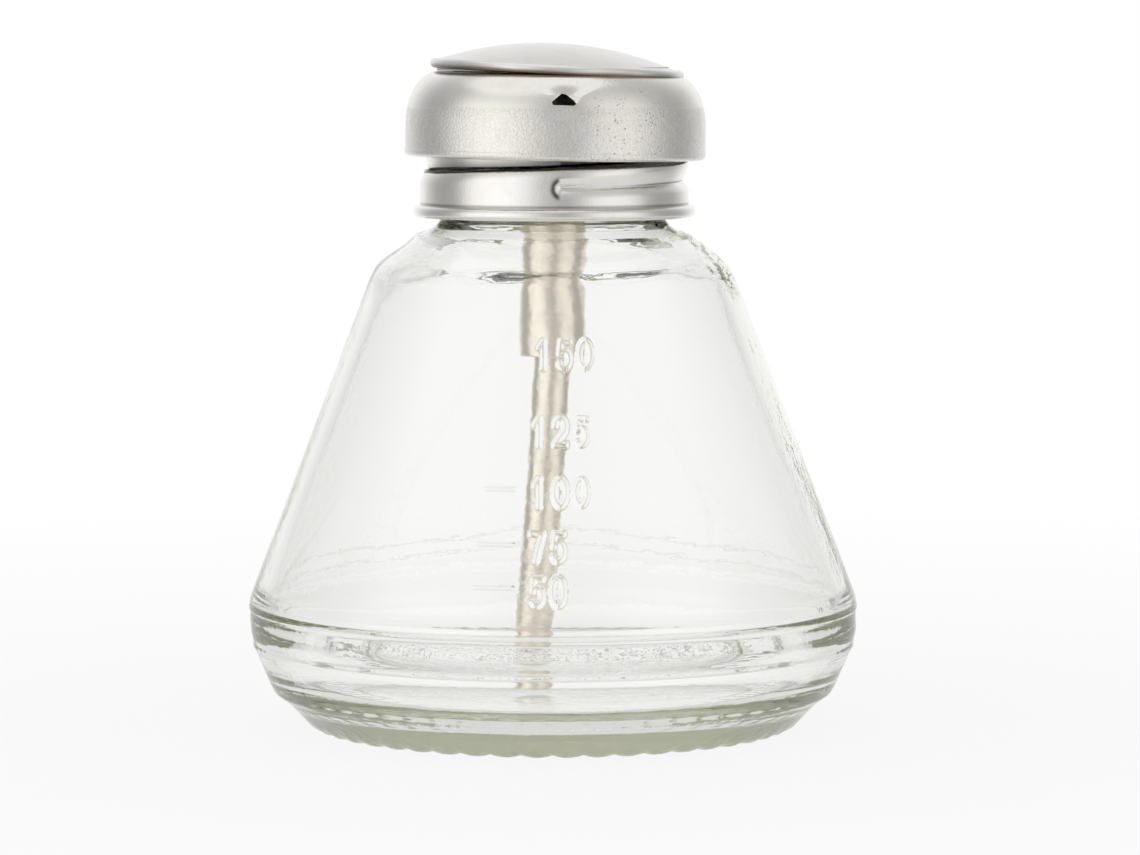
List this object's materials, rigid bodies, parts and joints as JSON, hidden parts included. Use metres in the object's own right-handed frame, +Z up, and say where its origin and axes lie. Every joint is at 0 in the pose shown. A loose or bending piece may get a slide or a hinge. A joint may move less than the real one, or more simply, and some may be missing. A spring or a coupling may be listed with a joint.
{
  "type": "pump dispenser bottle",
  "caption": "Conical glass bottle with a screw collar, a push-down pump whose shallow metal dish wets a cotton pad, and a hinged domed lid.",
  "frame": {"origin": "centre of the bottle's bearing plane, on the axis", "axes": "+Z up along the bottle's axis, -Y towards the front with the notch, +X to the right seen from it"},
  "size_m": [0.08, 0.08, 0.09],
  "materials": {
    "clear_glass": "clear pressed",
    "bright_nickel": "bright nickel",
    "warm_nickel": "drawn tube",
    "satin_steel": "satin",
    "steel": "machined",
    "polished_steel": "polished",
    "white_plastic": "moulded",
    "seal_rubber": "smooth"
  },
  "bodies": {
    "bottle": {"bottle": "clear_glass"},
    "pump_body": {"neck_gasket": "seal_rubber", "flange_plate": "steel", "pump_cylinder": "warm_nickel", "gland_bush": "white_plastic", "stem_seal": "seal_rubber", "inlet_seat": "white_plastic", "ball_stop": "steel", "dip_tube": "warm_nickel"},
    "collar": {"screw_collar": "bright_nickel"},
    "inlet_ball": {"inlet_ball": "polished_steel"},
    "head": {"plunger_stem": "steel", "piston_disc": "steel", "piston_cup": "white_plastic", "piston_nut": "steel", "pump_spring": "polished_steel", "dish": "satin_steel", "nozzle_washer": "seal_rubber", "nozzle_body": "steel", "nozzle_cap": "satin_steel", "head_band": "satin_steel", "hinge_bracket": "satin_steel", "hinge_pin": "steel"},
    "outlet_ball": {"outlet_ball": "polished_steel"},
    "lid": {"lid": "satin_steel", "lid_seal": "white_plastic"}
  },
  "joints": [
    {"name": "collar_turn", "type": "hinge", "parent": "pump_body", "child": "collar", "pos_m": [0, 0, 0.0774], "axis": [0, 0, 1], "range_deg": [0, 200]},
    {"name": "pump_lift", "type": "slide", "parent": "bottle", "child": "pump_body", "axis": [0, 0, 1], "range_m": [0, 0.0018]},
    {"name": "head_press", "type": "slide", "parent": "pump_body", "child": "head", "axis": [0, 0, -1], "range_m": [0, 0.004], "stiffness_N_per_m": 800, "springref_m": -0.003, "deforming": ["pump_spring"]},
    {"name": "lid_flip", "type": "hinge", "parent": "head", "child": "lid", "pos_m": [-0.00123, 0.01856, 0.0869], "axis": [-0.9978, -0.0663, 0], "range_deg": [0, 115]},
    {"name": "inlet_lift", "type": "slide", "parent": "pump_body", "child": "inlet_ball", "axis": [0, 0, 1], "range_m": [0, 0.001]},
    {"name": "outlet_lift", "type": "slide", "parent": "head", "child": "outlet_ball", "axis": [0, 0, 1], "range_m": [0, 0.0005]}
  ],
  "couplings": [
    {"joint": "pump_lift", "follows": "collar_turn", "m_per_rad": 0.00050611}
  ]
}
